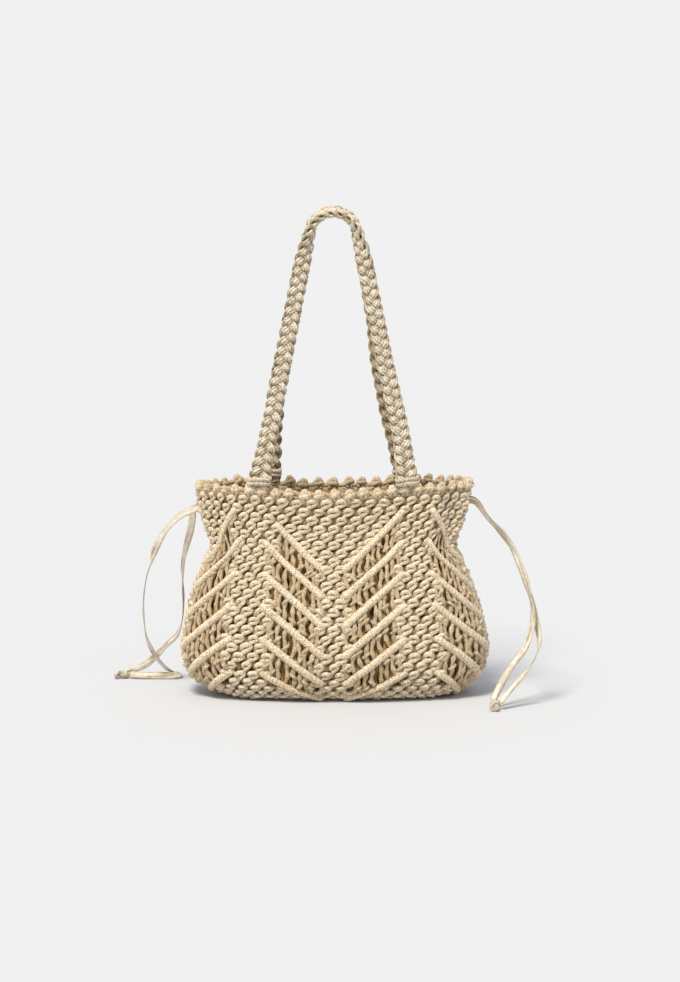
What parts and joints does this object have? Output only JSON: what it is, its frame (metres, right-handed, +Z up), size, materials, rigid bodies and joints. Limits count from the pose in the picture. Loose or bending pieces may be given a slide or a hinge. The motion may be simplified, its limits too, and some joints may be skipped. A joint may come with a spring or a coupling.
{
  "type": "knotted cord tote bag",
  "caption": "Natural cotton cord tote bag, knotted in chevron panels with open ladders, plaited handles and a flat tape drawstring.",
  "frame": {"origin": "middle of the knotted base, on the surface that the bag stands on", "axes": "+X across the front to the right, +Y from the front to the back, +Z up towards the handles"},
  "size_m": [0.478, 0.1776, 0.5509],
  "materials": {
    "net_cord": "matte",
    "handle_cord": "matte",
    "cotton_tape": "matte"
  },
  "bodies": {
    "root": {"net_body": "net_cord", "handle_front": "handle_cord", "handle_back": "handle_cord", "wrap_front_left": "handle_cord", "wrap_front_right": "handle_cord", "wrap_back_left": "handle_cord", "wrap_back_right": "handle_cord", "tape_right_loop": "cotton_tape", "tape_left_loop": "cotton_tape", "tape_left_long": "cotton_tape", "tape_left_short": "cotton_tape", "tape_right_outer": "cotton_tape", "tape_right_inner": "cotton_tape", "knot_left": "cotton_tape", "knot_right": "cotton_tape"}
  },
  "joints": []
}
